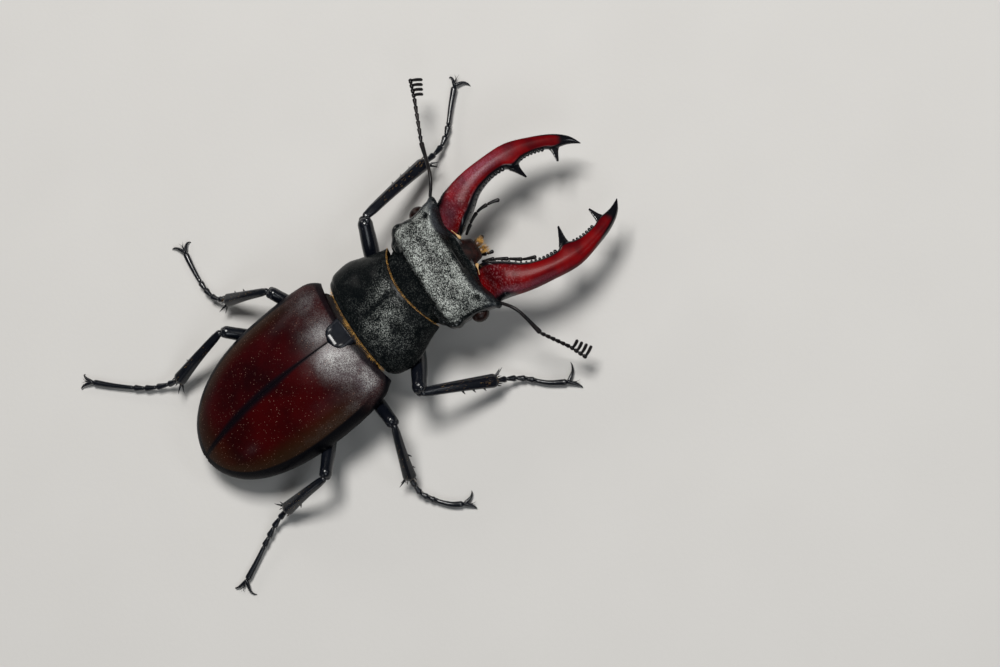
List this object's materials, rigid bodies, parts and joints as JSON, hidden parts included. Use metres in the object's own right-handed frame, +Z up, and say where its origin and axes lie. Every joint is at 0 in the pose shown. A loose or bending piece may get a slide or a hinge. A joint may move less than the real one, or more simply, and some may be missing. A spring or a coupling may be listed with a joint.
{
  "type": "stag beetle model",
  "caption": "Life-size still model of a male stag beetle, standing with its antlered jaws open and its legs spread.",
  "frame": {"origin": "on the floor, under the middle of the bounding box", "axes": "+Z up, the head and jaws towards -Y, the beetle's left side towards +X"},
  "size_m": [0.0636, 0.0891, 0.0167],
  "materials": {
    "granular_shell": "black chitin, fine granular punctures with a grey satin sheen",
    "wing_shell": "dark maroon chitin, satin gloss, black suture and margins",
    "jaw_shell": "glossy ruby-red chitin with black teeth and tips",
    "belly_shell": "satin black-brown chitin",
    "eye": "glossy dark red-brown",
    "labrum": "dark red-brown, satin",
    "scutellum": "glossy blue-black",
    "limb_shell": "glossy blue-black chitin",
    "feeler_shell": "glossy black chitin",
    "setae": "golden-orange hair"
  },
  "bodies": {
    "root": {"head": "granular_shell", "pronotum": "granular_shell", "elytron_left": "wing_shell", "elytron_right": "wing_shell", "mandible_left": "jaw_shell", "mandible_right": "jaw_shell", "thorax": "belly_shell", "abdomen": "belly_shell", "eye_left": "eye", "eye_right": "eye", "labrum": "labrum", "scutellum": "scutellum", "coxa_front_left": "limb_shell", "femur_front_left": "limb_shell", "tibia_front_left": "limb_shell", "tarsus_front_left": "limb_shell", "claws_front_left": "limb_shell", "coxa_front_right": "limb_shell", "femur_front_right": "limb_shell", "tibia_front_right": "limb_shell", "tarsus_front_right": "limb_shell", "claws_front_right": "limb_shell", "coxa_middle_left": "limb_shell", "femur_middle_left": "limb_shell", "tibia_middle_left": "limb_shell", "tarsus_middle_left": "limb_shell", "claws_middle_left": "limb_shell", "coxa_middle_right": "limb_shell", "femur_middle_right": "limb_shell", "tibia_middle_right": "limb_shell", "tarsus_middle_right": "limb_shell", "claws_middle_right": "limb_shell", "coxa_hind_left": "limb_shell", "femur_hind_left": "limb_shell", "tibia_hind_left": "limb_shell", "tarsus_hind_left": "limb_shell", "claws_hind_left": "limb_shell", "coxa_hind_right": "limb_shell", "femur_hind_right": "limb_shell", "tibia_hind_right": "limb_shell", "tarsus_hind_right": "limb_shell", "claws_hind_right": "limb_shell", "antenna_scape_left": "feeler_shell", "antenna_funicle_left": "feeler_shell", "antenna_club_left": "feeler_shell", "antenna_scape_right": "feeler_shell", "antenna_funicle_right": "feeler_shell", "antenna_club_right": "feeler_shell", "palp_maxillary_left": "feeler_shell", "palp_maxillary_right": "feeler_shell", "palp_labial_left": "feeler_shell", "palp_labial_right": "feeler_shell"}
  },
  "joints": []
}
